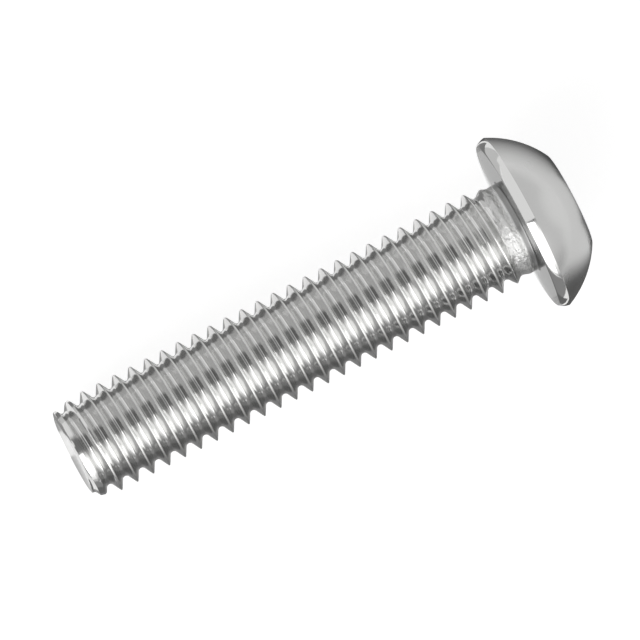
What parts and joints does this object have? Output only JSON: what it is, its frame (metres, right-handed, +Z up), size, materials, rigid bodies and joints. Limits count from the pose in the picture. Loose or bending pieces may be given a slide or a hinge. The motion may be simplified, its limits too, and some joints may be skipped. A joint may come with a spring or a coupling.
{
  "type": "button head screw",
  "caption": "Machine screw with a domed button head, a six-lobe socket with a centre pin, and a rolled thread up to a short plain neck.",
  "frame": {"origin": "on the ground, under the middle of the screw as it lies", "axes": "+X from the tip towards the head, +Z up"},
  "size_m": [0.0316, 0.0106, 0.0105],
  "materials": {
    "stainless_steel": "bright rolled stainless steel"
  },
  "bodies": {
    "root": {"screw": "stainless_steel"}
  },
  "joints": []
}
